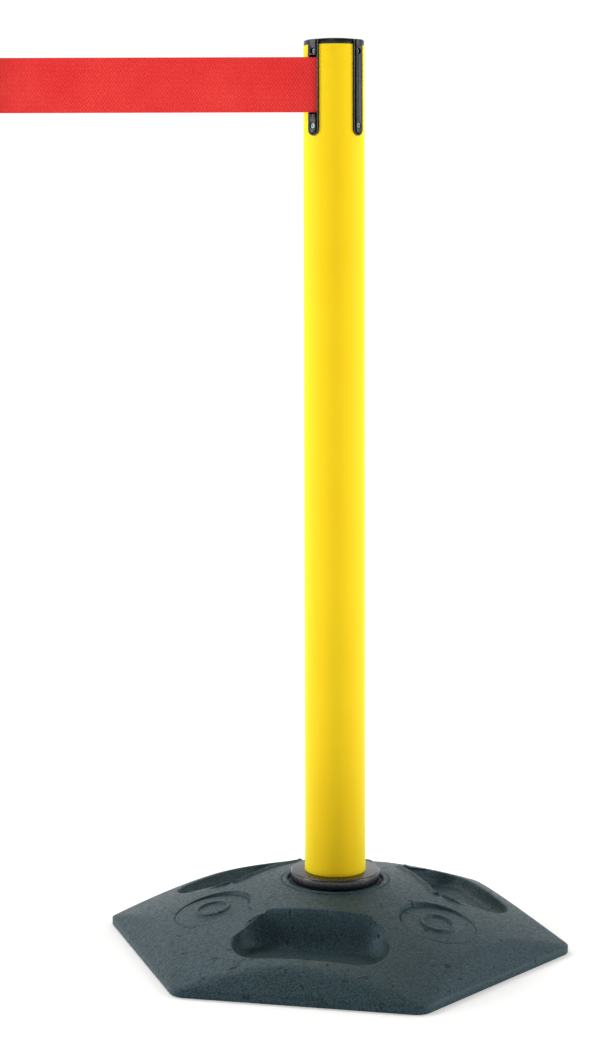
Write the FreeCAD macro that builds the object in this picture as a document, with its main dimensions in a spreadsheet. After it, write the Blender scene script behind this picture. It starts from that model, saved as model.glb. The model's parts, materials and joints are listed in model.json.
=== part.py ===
import FreeCAD, Part
import math
import os

import Sketcher

# Retractable-belt barrier post, in millimetres.
# Origin: centre of the base's underside.  +Z is up, the viewer's side is -Y, and the belt runs out along -X.

Vector = FreeCAD.Vector
Rotation = FreeCAD.Rotation

SIZES = {
    # moulded rubber base
    "base_flats": 435.0,
    "base_corner_angle": -12.3,
    "base_corner_round": 18.0,
    "base_side_height": 8.0,
    "base_bevel_angle": 50.0,
    "base_rim_radius": 254.0,
    "base_rim_height": 5.6,
    "dome_radius": 873.0,
    "hub_radius": 58.5,
    "hub_height": 64.0,
    "ring_outer": 57.0,
    "ring_inner": 51.5,
    "ring_height": 65.3,
    "socket_radius": 30.5,
    "socket_floor": 39.5,
    "counterbore_radius": 32.0,
    "counterbore_height": 14.0,
    "bolt_hole_radius": 7.0,
    # hand recesses, measured outward and sideways in their own sector
    "recess_floor": 21.0,
    "recess_inner": 113.0,
    "recess_inner_half": 50.0,
    "recess_waist": 133.0,
    "recess_waist_half": 71.0,
    "recess_outer": 173.0,
    "recess_outer_half": 38.0,
    "recess_corner": 42.0,
    "recess_draft": 18.0,
    "recess_sector_angle": 30.0,
    # foot that carries the tube
    "flange_radius": 47.6,
    "flange_top": 75.2,
    "flange_chamfer": 1.2,
    "stub_radius": 30.0,
    "stub_bottom": 40.0,
    "spigot_radius": 29.3,
    "spigot_bore": 22.8,
    "spigot_top": 135.0,
    "foot_web_top": 70.0,
    "foot_hole_radius": 6.5,
    # M12 anchor
    "bolt_radius": 6.0,
    "bolt_flats": 18.0,
    "bolt_head_bottom": 0.8,
    "bolt_head_top": 8.3,
    "bolt_end": 84.0,
    "nut_bore": 6.05,
    "nut_height": 10.8,
    "washer_radius": 30.0,
    "washer_thickness": 3.0,
    "washer_bore": 6.5,
    "spring_washer_radius": 10.5,
    "spring_washer_gap": 2.0,
    # tube
    "tube_radius": 32.6,
    "tube_wall": 3.2,
    "tube_top": 957.0,
    "slot_half": 6.45,
    # four upright channels around the head
    "channel_angle": -43.0,
    "channel_half": 7.0,
    "channel_web_half": 6.4,
    "channel_foot": 867.6,
    "channel_top": 962.0,
    "channel_back": 27.6,
    "channel_seat": 32.65,
    "channel_face": 33.9,
    "groove_half": 5.4,
    "groove_floor": 30.6,
    "rail_stem_half": 2.2,
    "rail_head_half": 4.1,
    "rail_head_back": 32.8,
    "rail_face": 35.0,
    "window_bottom": 883.3,
    "window_top": 945.5,
    # screws through the channels
    "lower_screw_height": 871.1,
    "upper_screw_height": 949.6,
    "lower_screw_seat": 32.6,
    "upper_screw_seat": 31.2,
    "screw_recess_radius": 3.1,
    "screw_radius": 1.5,
    "screw_head_radius": 2.8,
    "screw_head_height": 1.7,
    "screw_end": 24.6,
    "screw_hole_radius": 1.7,
    "driver_depth": 1.0,
    "driver_width": 0.8,
    "driver_length": 3.2,
    # cap
    "cap_radius": 32.1,
    "cap_bottom": 957.0,
    "cap_edge": 962.2,
    "cap_top": 965.0,
    "cap_skirt_outer": 27.3,
    "cap_skirt_inner": 25.2,
    "cap_skirt_bottom": 947.3,
    "cap_roof": 960.0,
    "cap_notch_half": 6.6,
    # cassette inside the head
    "shell_outer": 27.3,
    "shell_inner_low": 23.5,
    "shell_inner_high": 25.8,
    "shell_bottom": 828.0,
    "shell_step": 883.0,
    "shell_top": 947.0,
    "shell_window_half": 3.2,
    "end_plate_gap": 0.05,
    "base_plate_thickness": 3.0,
    "lid_thickness": 1.4,
    "arbor_radius": 3.5,
    "arbor_bottom": 826.5,
    "arbor_head_radius": 5.5,
    "arbor_head_height": 1.5,
    "arbor_top": 948.6,
    "arbor_clip_radius": 6.0,
    "arbor_clip_thickness": 0.9,
    # centrifugal brake
    "drum_inner": 21.5,
    "drum_bottom": 834.0,
    "drum_top": 850.0,
    "rotor_bottom": 837.0,
    "rotor_bore": 3.7,
    "rotor_hub_radius": 7.0,
    "rotor_disc_radius": 20.0,
    "rotor_disc_bottom": 848.2,
    "rotor_top": 850.5,
    "guide_half": 2.0,
    "guide_root": 6.0,
    "guide_reach": 17.5,
    "shoe_bottom": 838.0,
    "shoe_top": 847.8,
    "shoe_inner": 8.5,
    "shoe_outer": 20.4,
    "shoe_gap_half": 2.5,
    "shoe_slot_half": 2.3,
    "shoe_slot_reach": 18.0,
    "garter_radius": 19.9,
    "garter_wire": 0.5,
    "garter_height": 842.5,
    "garter_groove_half": 0.9,
    "garter_groove_depth": 1.4,
    # spring cup, spool and bearings
    "cup_bottom": 850.5,
    "cup_floor": 852.0,
    "cup_radius": 22.5,
    "cup_bore": 21.0,
    "spring_bottom": 853.5,
    "spring_height": 29.0,
    "spring_inner": 4.3,
    "spring_outer": 20.4,
    "spring_strip": 0.5,
    "spring_turns": 9.0,
    "spool_bottom": 883.4,
    "spool_flange_thickness": 1.5,
    "spool_flange_radius": 24.0,
    "spool_core_radius": 12.0,
    "spool_bore": 8.5,
    "spool_top": 945.2,
    "bush_bore": 3.55,
    "bush_length": 8.0,
    "bush_inset": 2.0,
    # belt
    "belt_line": -22.3,
    "belt_thickness": 0.5,
    "belt_bottom": 885.3,
    "belt_top": 943.4,
    "belt_start": -1.0,
    "roll_radius": 21.7,
    # end clip
    "clip_start": -358.0,
    "clip_belt_end": -371.0,
    "clip_end": -378.4,
    "clip_bottom": 882.1,
    "clip_top": 946.6,
    "clip_half": 5.3,
    "clip_gap_half": 0.3,
    "clip_fillet": 1.5,
    "jaw_pocket_start": -373.5,
    "jaw_hook_start": -376.6,
    "jaw_pocket_half": 4.4,
    "jaw_mouth_half": 2.5,
    "jaw_top": 942.6,
    "jaw_height": 9.0,
    "rivet_radius": 1.6,
    "rivet_head_radius": 3.0,
    "rivet_head_height": 0.8,
    "rivet_position": -364.5,
    "rivet_inset": 9.0,
}

doc = FreeCAD.newDocument("belt_barrier_post")
sheet = doc.addObject("Spreadsheet::Sheet", "Sizes")
for row, (alias, value) in enumerate(SIZES.items(), start=1):
    sheet.set(f"A{row}", alias)
    sheet.set(f"B{row}", str(value))
    sheet.setAlias(f"B{row}", alias)
doc.recompute()

NODES = []


def bound(text):
    """Turn the sheet's words inside an expression into references to its cells."""
    return " ".join(f"Sizes.{word}" if word in SIZES else word for word in text.split(" "))


def number(text):
    """Present value of an expression written in the sheet's words."""
    return float(sheet.evalExpression(bound(text)))


def bind(item, prop, text):
    item.setExpression(prop, bound(text))


# ---- PartDesign helpers ----

def new_body(label):
    body = doc.addObject("PartDesign::Body", label)
    body.Label = label
    doc.recompute()
    return body


def piece(label, angle="0"):
    """A body that is one sub-part, turned about +Z by an angle in degrees."""
    body = new_body(label)
    bind(body, "Placement.Rotation.Angle", f"( {angle} ) * 1 deg")
    NODES.append(body)
    return body


def origin_feature(body, role):
    return next(feature for feature in body.Origin.OriginFeatures if feature.Role == role)


def new_sketch(body, plane, offset):
    sketch = body.newObject("Sketcher::SketchObject", "Sketch")
    sketch.AttachmentSupport = [(origin_feature(body, plane), "")]
    sketch.MapMode = "FlatFace"
    bind(sketch, "AttachmentOffset.Base.z", offset)
    return sketch


def lock(sketch, kind, references, text):
    place = sketch.addConstraint(Sketcher.Constraint(kind, *references, number(text)))
    bind(sketch, f"Constraints[{place}]", text)


def add_loop(sketch, corners):
    """Closed outline.  A corner is (x, y), or (x, y, radius) where an arc bulges right of the way to the next.

    A half-round arc is held by its centre, which is level with its ends.
    """
    points = [Vector(number(corner[0]), number(corner[1]), 0) for corner in corners]
    following = points[1:] + points[:1]
    ends = []
    for corner, start, end in zip(corners, points, following):
        if len(corner) == 2:
            edge = sketch.addGeometry(Part.LineSegment(start, end))
        else:
            radius = number(corner[2])
            chord = end - start
            rise = radius - math.sqrt(max(radius ** 2 - chord.Length ** 2 / 4, 0.0))
            outward = Vector(chord.y, -chord.x, 0).normalize()
            edge = sketch.addGeometry(Part.Arc(start, (start + end) / 2 + outward * rise, end))
            if chord.Length < radius * 1.99:
                lock(sketch, "Radius", [edge], corner[2])
            else:
                lock(sketch, "DistanceY", [-1, 1, edge, 3], corner[1])
        forward = sketch.getPoint(edge, 1).distanceToPoint(start) < 1e-6
        ends.append((edge, 1, 2) if forward else (edge, 2, 1))
    for (edge, start_end, far_end), (next_edge, next_start, _), corner in zip(ends, ends[1:] + ends[:1], corners):
        sketch.addConstraint(Sketcher.Constraint("Coincident", edge, far_end, next_edge, next_start))
        lock(sketch, "DistanceX", [-1, 1, edge, start_end], corner[0])
        lock(sketch, "DistanceY", [-1, 1, edge, start_end], corner[1])


def outline(body, plane, corners, offset="0"):
    sketch = new_sketch(body, plane, offset)
    add_loop(sketch, corners)
    return sketch


def rectangle(body, plane, low, high, offset="0"):
    corners = [(low[0], low[1]), (high[0], low[1]), (high[0], high[1]), (low[0], high[1])]
    return outline(body, plane, corners, offset)


def circles(body, plane, places, radius, offset="0"):
    sketch = new_sketch(body, plane, offset)
    for across, along in places:
        centre = Vector(number(across), number(along), 0)
        edge = sketch.addGeometry(Part.Circle(centre, Vector(0, 0, 1), number(radius)))
        lock(sketch, "Radius", [edge], radius)
        lock(sketch, "DistanceX", [-1, 1, edge, 3], across)
        lock(sketch, "DistanceY", [-1, 1, edge, 3], along)
    return sketch


def hexagon(flats):
    return [(f"{flats} / sqrt(3) * cos({turn} deg)", f"{flats} / sqrt(3) * sin({turn} deg)")
            for turn in range(0, 360, 60)]


def rounded_hexagon(flats, radius):
    """Hexagon with each corner rounded by an arc."""
    corners = []
    for middle in range(0, 360, 60):
        for side, ending in (("-", ""), ("+", radius)):
            reach = f"( {flats} / 2 - {radius} ) * tan(30 deg)"
            out = f"{flats} / 2 * cos({middle} deg) {'+' if side == '-' else '-'} {reach} * sin({middle} deg)"
            across = f"{flats} / 2 * sin({middle} deg) {side} {reach} * cos({middle} deg)"
            corners.append((out, across, ending) if ending else (out, across))
    return corners


def finish_feature(body, feature, removes=False):
    """Recompute, and make sure that what should cut has cut and what should add has added."""
    before = body.Shape.Volume if feature.BaseFeature else 0.0
    doc.recompute()
    after = feature.Shape.Volume
    changed = after < before - 1e-3 if removes else after > before + 1e-3
    if not changed:
        raise RuntimeError(f"{feature.Name} of {body.Label} changed nothing")
    return feature


def pad(body, sketch, length, taper="0"):
    feature = body.newObject("PartDesign::Pad", "Pad")
    feature.Profile = sketch
    bind(feature, "Length", length)
    bind(feature, "TaperAngle", f"( {taper} ) * 1 deg")
    return finish_feature(body, feature)


def pocket(body, sketch, length, taper="0", forward=True):
    """Cut a sketch's outline for a length along its plane's normal, or against it."""
    feature = body.newObject("PartDesign::Pocket", "Pocket")
    feature.Profile = sketch
    feature.Reversed = forward
    bind(feature, "Length", length)
    bind(feature, "TaperAngle", f"( {taper} ) * 1 deg")
    return finish_feature(body, feature, removes=True)


def turn(body, corners, kind="PartDesign::Revolution"):
    """Turned shape: corners are (radius, height)."""
    sketch = outline(body, "XZ_Plane", corners)
    feature = body.newObject(kind, "Turned")
    feature.Profile = sketch
    feature.ReferenceAxis = (origin_feature(body, "Z_Axis"), [""])
    feature.Angle = 360
    return finish_feature(body, feature, removes=kind == "PartDesign::Groove")


def around(body, feature, count):
    pattern = body.newObject("PartDesign::PolarPattern", "Pattern")
    pattern.Originals = [feature]
    pattern.Axis = (origin_feature(body, "Z_Axis"), [""])
    pattern.Angle = 360
    pattern.Occurrences = count
    body.Tip = pattern
    doc.recompute()
    return pattern


def ring(label, inner, outer, bottom, top, angle="0"):
    body = piece(label, angle)
    turn(body, [(inner, bottom), (outer, bottom), (outer, top), (inner, top)])
    return body


# ---- base and foot ----

def make_rubber_base():
    block = new_body("base_hexagon")
    corners = rounded_hexagon("base_flats", "base_corner_round")
    pad(block, outline(block, "XY_Plane", corners), "base_side_height")
    pad(block, outline(block, "XY_Plane", corners, "base_side_height"), "hub_height", "0 - base_bevel_angle")
    bind(block, "Placement.Rotation.Angle", "30 deg")
    base = piece("rubber_base", "base_corner_angle")
    turn(base, [
        ("0", "0"), ("base_rim_radius", "0"), ("base_rim_radius", "base_rim_height", "dome_radius"),
        ("hub_radius", "hub_height"), ("ring_outer", "ring_height"), ("ring_inner", "ring_height"),
        ("ring_inner", "hub_height"), ("0", "hub_height"),
    ])
    recess = outline(base, "XY_Plane", [
        ("recess_inner", "0 - recess_inner_half"), ("recess_waist", "0 - recess_waist_half", "recess_corner"),
        ("recess_outer", "0 - recess_outer_half"), ("recess_outer", "recess_outer_half", "recess_corner"),
        ("recess_waist", "recess_waist_half"), ("recess_inner", "recess_inner_half"),
    ], "recess_floor")
    bind(recess, "AttachmentOffset.Rotation.Angle", "recess_sector_angle * 1 deg")
    around(base, pocket(base, recess, "hub_height", "recess_draft"), 3)
    for radius, bottom, top in (("bolt_hole_radius", "0", "hub_height"),
                                ("counterbore_radius", "0", "counterbore_height"),
                                ("socket_radius", "socket_floor", "hub_height")):
        turn(base, [("0", bottom), (radius, bottom), (radius, top), ("0", top)], "PartDesign::Groove")
    trimmed = base.newObject("PartDesign::Boolean", "Trimmed")
    trimmed.Type = "Common"
    trimmed.setObjects([block])
    doc.recompute()


def make_post_foot():
    turn(piece("post_foot"), [
        ("foot_hole_radius", "stub_bottom"), ("stub_radius", "stub_bottom"), ("stub_radius", "hub_height"),
        ("flange_radius", "hub_height"), ("flange_radius", "flange_top - flange_chamfer"),
        ("flange_radius - flange_chamfer", "flange_top"), ("spigot_radius", "flange_top"),
        ("spigot_radius", "spigot_top"), ("spigot_bore", "spigot_top"), ("spigot_bore", "foot_web_top"),
        ("foot_hole_radius", "foot_web_top"),
    ])


def make_anchor():
    bolt = piece("anchor_bolt")
    pad(bolt, outline(bolt, "XY_Plane", hexagon("bolt_flats"), "bolt_head_bottom"),
        "bolt_head_top - bolt_head_bottom")
    pad(bolt, circles(bolt, "XY_Plane", [("0", "0")], "bolt_radius", "bolt_head_top"), "bolt_end - bolt_head_top")
    ring("plate_washer", "washer_bore", "washer_radius", "counterbore_height - washer_thickness",
         "counterbore_height")
    split = ring("spring_washer", "washer_bore", "spring_washer_radius", "bolt_head_top",
                 "counterbore_height - washer_thickness")
    gap = rectangle(split, "XY_Plane", ("0", "0 - spring_washer_gap / 2"),
                    ("spring_washer_radius * 2", "spring_washer_gap / 2"), "bolt_head_bottom")
    pocket(split, gap, "counterbore_height")
    nut = piece("anchor_nut")
    pad(nut, outline(nut, "XY_Plane", hexagon("bolt_flats"), "foot_web_top"), "nut_height")
    pocket(nut, circles(nut, "XY_Plane", [("0", "0")], "nut_bore", "foot_web_top"), "nut_height")


# ---- tube, channels and cap ----

SCREW_PLACES = [("lower_screw_height", "lower_screw_seat"), ("upper_screw_height", "upper_screw_seat")]


def channel_outline(half):
    """Upright strip with a half-round foot, seen from outside."""
    return [(f"0 - {half}", "channel_foot", half), (half, "channel_foot"),
            (half, "channel_top"), (f"0 - {half}", "channel_top")]


def make_post_tube():
    tube = ring("post_tube", "tube_radius - tube_wall", "tube_radius", "flange_top", "tube_top", "channel_angle")
    slot = outline(tube, "YZ_Plane", channel_outline("slot_half"))
    around(tube, pocket(tube, slot, "tube_radius * 2"), 4)


def make_channel(label, turns, passes_belt):
    """Channel moulding: a face strip over the tube's slot, a web through it, and a rail for a belt clip."""
    body = piece(label, f"channel_angle + 90 * {turns}")
    face = outline(body, "YZ_Plane", channel_outline("channel_half"), "channel_back")
    pad(body, face, "channel_face - channel_back")
    turn(body, [("0", "0"), ("channel_seat", "0"), ("channel_seat", "channel_top"), ("0", "channel_top")],
         "PartDesign::Groove")
    web = outline(body, "YZ_Plane", channel_outline("channel_web_half"), "channel_back")
    pad(body, web, "channel_seat - channel_back")
    groove = outline(body, "YZ_Plane", channel_outline("groove_half"), "groove_floor")
    pocket(body, groove, "channel_face")
    for half, back, front in (("rail_stem_half", "groove_floor", "rail_head_back"),
                              ("rail_head_half", "rail_head_back", "rail_face")):
        pad(body, outline(body, "YZ_Plane", channel_outline(half), back), f"{front} - {back}")
    if passes_belt:
        window = rectangle(body, "YZ_Plane", ("0 - groove_half", "window_bottom"), ("groove_half", "window_top"))
        pocket(body, window, "channel_face * 2")
    for height, seat in SCREW_PLACES:
        pocket(body, circles(body, "YZ_Plane", [("0", height)], "screw_recess_radius", seat), "channel_face")
        pocket(body, circles(body, "YZ_Plane", [("0", height)], "screw_hole_radius"), "channel_face * 2")


def make_top_cap():
    cap = piece("top_cap", "channel_angle")
    rise = "( cap_top - cap_edge )"
    crown = f"( cap_radius ^ 2 + {rise} ^ 2 ) / ( 2 * {rise} )"
    turn(cap, [
        ("0", "cap_roof"), ("cap_skirt_inner", "cap_roof"), ("cap_skirt_inner", "cap_skirt_bottom"),
        ("cap_skirt_outer", "cap_skirt_bottom"), ("cap_skirt_outer", "cap_bottom"), ("cap_radius", "cap_bottom"),
        ("cap_radius", "cap_edge", crown), ("0", "cap_top"),
    ])
    notch = rectangle(cap, "XY_Plane", ("cap_skirt_outer", "0 - cap_notch_half"),
                      ("cap_radius * 2", "cap_notch_half"), "cap_bottom")
    around(cap, pocket(cap, notch, "cap_top"), 4)
    hole = circles(cap, "YZ_Plane", [("0", "upper_screw_height")], "screw_radius")
    around(cap, pocket(cap, hole, "cap_radius"), 4)


# ---- screws: Part primitives, four to a node ----

def place_at(item, out, across, up):
    for axis, distance in (("x", out), ("y", across), ("z", up)):
        bind(item, f"Placement.Base.{axis}", distance)


def cylinder(radius, start, length, height):
    item = doc.addObject("Part::Cylinder", "Round")
    bind(item, "Radius", radius)
    bind(item, "Height", length)
    item.Placement = FreeCAD.Placement(Vector(), Rotation(Vector(0, 1, 0), 90))
    place_at(item, start, "0", height)
    return item


def driver_slot(length, width, face, height):
    item = doc.addObject("Part::Box", "Slot")
    bind(item, "Length", "driver_depth * 2")
    bind(item, "Width", length)
    bind(item, "Height", width)
    place_at(item, f"{face} - driver_depth", f"0 - {length} / 2", f"{height} - {width} / 2")
    return item


def combine(kind, items):
    item = doc.addObject(kind, "Joined")
    if kind == "Part::Cut":
        item.Base, item.Tool = items
    else:
        item.Shapes = items
    return item


def make_screws(label, height, seat):
    """Pan-head cross screws that run inwards through the four channels."""
    screws = []
    for quarter in range(4):
        shank = cylinder("screw_radius", "screw_end", f"{seat} - screw_end", height)
        head = cylinder("screw_head_radius", seat, "screw_head_height", height)
        face = f"{seat} + screw_head_height"
        slots = [driver_slot("driver_length", "driver_width", face, height),
                 driver_slot("driver_width", "driver_length", face, height)]
        screw = combine("Part::Cut", [combine("Part::MultiFuse", [shank, head]),
                                      combine("Part::MultiFuse", slots)])
        bind(screw, "Placement.Rotation.Angle", f"( channel_angle + 90 * {quarter} ) * 1 deg")
        screws.append(screw)
    group = doc.addObject("Part::Compound", label)
    group.Label = label
    group.Links = screws
    NODES.append(group)
    doc.recompute()


# ---- cassette ----

def make_cassette_shell():
    shell = piece("cassette_shell")
    turn(shell, [
        ("shell_inner_low", "shell_bottom"), ("shell_outer", "shell_bottom"), ("shell_outer", "shell_top"),
        ("shell_inner_high", "shell_top"), ("shell_inner_high", "shell_step"), ("shell_inner_low", "shell_step"),
    ])
    hole = circles(shell, "YZ_Plane", [("0", "lower_screw_height")], "screw_radius")
    hole.AttachmentOffset = FreeCAD.Placement(Vector(), Rotation(Vector(0, 1, 0), number("channel_angle")))
    bind(hole, "AttachmentOffset.Rotation.Angle", "channel_angle * 1 deg")
    around(shell, pocket(shell, hole, "shell_outer * 2"), 4)
    window = rectangle(shell, "YZ_Plane", ("belt_line - shell_window_half", "window_bottom"),
                       ("belt_line + shell_window_half", "window_top"))
    pocket(shell, window, "shell_outer * 2", forward=False)


def make_cassette_ends():
    ring("cassette_base", "arbor_radius", "shell_inner_low - end_plate_gap", "shell_bottom",
         "shell_bottom + base_plate_thickness")
    ring("cassette_lid", "arbor_radius", "shell_inner_high - end_plate_gap", "shell_top - lid_thickness",
         "shell_top")
    turn(piece("arbor"), [
        ("0", "arbor_bottom"), ("arbor_head_radius", "arbor_bottom"),
        ("arbor_head_radius", "arbor_bottom + arbor_head_height"),
        ("arbor_radius", "arbor_bottom + arbor_head_height"), ("arbor_radius", "arbor_top"), ("0", "arbor_top"),
    ])
    ring("arbor_clip", "arbor_radius", "arbor_clip_radius", "shell_top", "shell_top + arbor_clip_thickness")
    ring("brake_drum", "drum_inner", "shell_inner_low - end_plate_gap", "drum_bottom", "drum_top")


# ---- centrifugal brake ----

def make_brake_rotor():
    rotor = piece("brake_rotor")
    turn(rotor, [
        ("rotor_bore", "rotor_bottom"), ("rotor_hub_radius", "rotor_bottom"),
        ("rotor_hub_radius", "rotor_disc_bottom"), ("rotor_disc_radius", "rotor_disc_bottom"),
        ("rotor_disc_radius", "rotor_top"), ("rotor_bore", "rotor_top"),
    ])
    guide = rectangle(rotor, "XY_Plane", ("guide_root", "0 - guide_half"), ("guide_reach", "guide_half"),
                      "shoe_bottom")
    around(rotor, pad(rotor, guide, "rotor_disc_bottom - shoe_bottom"), 2)


def make_brake_shoe(label, angle):
    """Half ring that slides outward on the rotor's guide."""
    shoe = ring(label, "shoe_inner", "shoe_outer", "shoe_bottom", "shoe_top", angle)
    turn(shoe, [
        ("shoe_outer - garter_groove_depth", "garter_height - garter_groove_half"),
        ("shoe_outer * 2", "garter_height - garter_groove_half"),
        ("shoe_outer * 2", "garter_height + garter_groove_half"),
        ("shoe_outer - garter_groove_depth", "garter_height + garter_groove_half"),
    ], "PartDesign::Groove")
    half = rectangle(shoe, "XY_Plane", ("0 - shoe_outer * 2", "0 - shoe_outer * 2"),
                     ("shoe_gap_half", "shoe_outer * 2"), "shoe_bottom")
    pocket(shoe, half, "shoe_top")
    slot = rectangle(shoe, "XY_Plane", ("0", "0 - shoe_slot_half"), ("shoe_slot_reach", "shoe_slot_half"),
                     "shoe_bottom")
    pocket(shoe, slot, "shoe_top")


def make_shoe_spring():
    garter = piece("shoe_spring")
    sketch = circles(garter, "XZ_Plane", [("garter_radius", "garter_height")], "garter_wire")
    feature = garter.newObject("PartDesign::Revolution", "Turned")
    feature.Profile = sketch
    feature.ReferenceAxis = (origin_feature(garter, "Z_Axis"), [""])
    feature.Angle = 360
    finish_feature(garter, feature)


# ---- spool, mainspring and belt ----

def make_spool():
    turn(piece("spool_core"), [
        ("spool_bore", "spool_bottom"), ("spool_flange_radius", "spool_bottom"),
        ("spool_flange_radius", "spool_bottom + spool_flange_thickness"),
        ("spool_core_radius", "spool_bottom + spool_flange_thickness"), ("spool_core_radius", "spool_top"),
        ("spool_bore", "spool_top"),
    ])
    ring("spool_flange", "spool_core_radius", "spool_flange_radius", "spool_top - spool_flange_thickness",
         "spool_top")
    ring("lower_bush", "bush_bore", "spool_bore", "spool_bottom + bush_inset",
         "spool_bottom + bush_inset + bush_length")
    ring("upper_bush", "bush_bore", "spool_bore", "spool_top - bush_inset - bush_length",
         "spool_top - bush_inset")
    turn(piece("spring_cup"), [
        ("rotor_bore", "cup_bottom"), ("cup_radius", "cup_bottom"), ("cup_radius", "spool_bottom"),
        ("cup_bore", "spool_bottom"), ("cup_bore", "cup_floor"), ("rotor_bore", "cup_floor"),
    ])
    ring("belt_roll", "spool_core_radius", "roll_radius", "belt_bottom", "belt_top")


def make_mainspring():
    """Flat spiral strip, wound evenly from its hook at the arbor out to the cup."""
    inner, outer = number("spring_inner"), number("spring_outer")
    turns, strip = number("spring_turns"), number("spring_strip")
    per_turn = 12
    steps = int(turns * per_turn)

    def spiral(offset):
        points = []
        for step in range(steps + 1):
            angle = 2 * math.pi * step / per_turn
            radius = inner + (outer - strip - inner) * step / steps + offset
            points.append(Vector(radius * math.cos(angle), radius * math.sin(angle), 0))
        curve = Part.BSplineCurve()
        curve.interpolate(points)
        return curve.toShape(), points[0], points[-1]

    near, near_start, near_end = spiral(0.0)
    far, far_start, far_end = spiral(strip)
    wire = Part.Wire([near, Part.LineSegment(near_end, far_end).toShape(), far.reversed(),
                      Part.LineSegment(far_start, near_start).toShape()])
    spring = doc.addObject("Part::Feature", "mainspring")
    spring.Label = "mainspring"
    spring.Shape = Part.Face(wire).extrude(Vector(0, 0, number("spring_height")))
    spring.Placement = FreeCAD.Placement(Vector(0, 0, number("spring_bottom")), Rotation())
    NODES.append(spring)


RIVET_PLACES = [("rivet_position", "clip_bottom + rivet_inset"), ("rivet_position", "clip_top - rivet_inset")]


def make_belt():
    belt = piece("belt")
    strip = rectangle(belt, "XZ_Plane", ("clip_belt_end", "belt_bottom"), ("belt_start", "belt_top"),
                      "0 - belt_line - belt_thickness / 2")
    pad(belt, strip, "belt_thickness")
    holes = circles(belt, "XZ_Plane", RIVET_PLACES, "rivet_radius")
    pocket(belt, holes, "clip_half - belt_line * 2")


# ---- belt end clip ----

def make_clip_half(label, side):
    """Half of the end clip: a cheek that grips the belt, and a short hooked jaw for the rails."""
    body = piece(label)

    def across(distance):
        return f"belt_line + ( {distance} ) * {side}"

    near, far = across("clip_gap_half"), across("clip_half")
    cheek = [("clip_start", near), ("clip_start", across("clip_half - clip_fillet")),
             ("clip_start - clip_fillet", far), ("jaw_pocket_start", far), ("jaw_pocket_start", near)]
    pad(body, outline(body, "XY_Plane", cheek, "clip_bottom"), "clip_top - clip_bottom")
    jaw = [("jaw_pocket_start", far), ("clip_end", far), ("clip_end", across("jaw_mouth_half")),
           ("jaw_hook_start", across("jaw_mouth_half")), ("jaw_hook_start", across("jaw_pocket_half")),
           ("jaw_pocket_start", across("jaw_pocket_half"))]
    pad(body, outline(body, "XY_Plane", jaw, "jaw_top - jaw_height"), "jaw_height")
    holes = circles(body, "XZ_Plane", RIVET_PLACES, "rivet_radius")
    pocket(body, holes, "clip_half - belt_line * 2")


def make_clip_rivets():
    rivets = piece("clip_rivets")
    reach = "clip_half + rivet_head_height"
    pad(rivets, circles(rivets, "XZ_Plane", RIVET_PLACES, "rivet_radius", f"0 - belt_line - ( {reach} )"),
        f"2 * ( {reach} )")
    for offset in (f"0 - belt_line - ( {reach} )", "0 - belt_line + clip_half"):
        pad(rivets, circles(rivets, "XZ_Plane", RIVET_PLACES, "rivet_head_radius", offset), "rivet_head_height")


make_rubber_base()
make_post_foot()
make_anchor()
make_post_tube()
for label, turns, passes_belt in (("belt_outlet", -1, True), ("receiver_front", 0, False),
                                  ("receiver_right", 1, False), ("receiver_back", 2, False)):
    make_channel(label, turns, passes_belt)
make_top_cap()
for label, (height, seat) in zip(("lower_screws", "upper_screws"), SCREW_PLACES):
    make_screws(label, height, seat)
make_cassette_shell()
make_cassette_ends()
make_brake_rotor()
make_brake_shoe("brake_shoe_a", "0")
make_brake_shoe("brake_shoe_b", "180")
make_shoe_spring()
make_spool()
make_mainspring()
make_belt()
make_clip_half("clip_front", "-1")
make_clip_half("clip_back", "1")
make_clip_rivets()
doc.recompute()

for item in doc.Objects:
    if "Invalid" in item.State or "Error" in item.State:
        raise RuntimeError(f"{item.Label} failed: {item.State}")
os.makedirs("parts", exist_ok=True)
for node in NODES:
    shape = node.Shape
    if shape.isNull() or not shape.isValid() or not shape.Solids:
        raise RuntimeError(f"{node.Label} has no valid solid")
for node in NODES:
    node.Shape.exportStep(f"parts/{node.Label}.step")
    print(node.Label, len(node.Shape.Solids), round(node.Shape.Volume))
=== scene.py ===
import json
import math

import bmesh
import bpy
import numpy as np
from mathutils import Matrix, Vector


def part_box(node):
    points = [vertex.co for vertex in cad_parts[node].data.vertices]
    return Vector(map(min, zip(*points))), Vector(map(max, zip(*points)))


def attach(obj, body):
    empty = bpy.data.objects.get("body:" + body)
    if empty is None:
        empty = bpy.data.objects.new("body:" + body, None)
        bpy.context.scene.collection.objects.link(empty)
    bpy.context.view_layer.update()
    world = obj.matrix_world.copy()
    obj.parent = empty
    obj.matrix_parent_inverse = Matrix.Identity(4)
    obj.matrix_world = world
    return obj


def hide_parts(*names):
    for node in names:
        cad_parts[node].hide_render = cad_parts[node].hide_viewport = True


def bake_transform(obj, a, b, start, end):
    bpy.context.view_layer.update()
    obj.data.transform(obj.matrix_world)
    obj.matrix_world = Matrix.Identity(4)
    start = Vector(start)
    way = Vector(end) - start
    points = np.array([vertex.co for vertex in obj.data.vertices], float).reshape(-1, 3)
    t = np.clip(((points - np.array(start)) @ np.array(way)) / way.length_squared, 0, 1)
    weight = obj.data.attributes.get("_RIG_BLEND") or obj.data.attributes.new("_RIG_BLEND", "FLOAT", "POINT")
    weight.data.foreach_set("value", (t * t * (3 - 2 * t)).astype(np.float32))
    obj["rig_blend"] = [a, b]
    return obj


# Retractable-belt barrier post.  Lengths are in metres, +Z is up, and the viewer stands at -Y.

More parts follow.
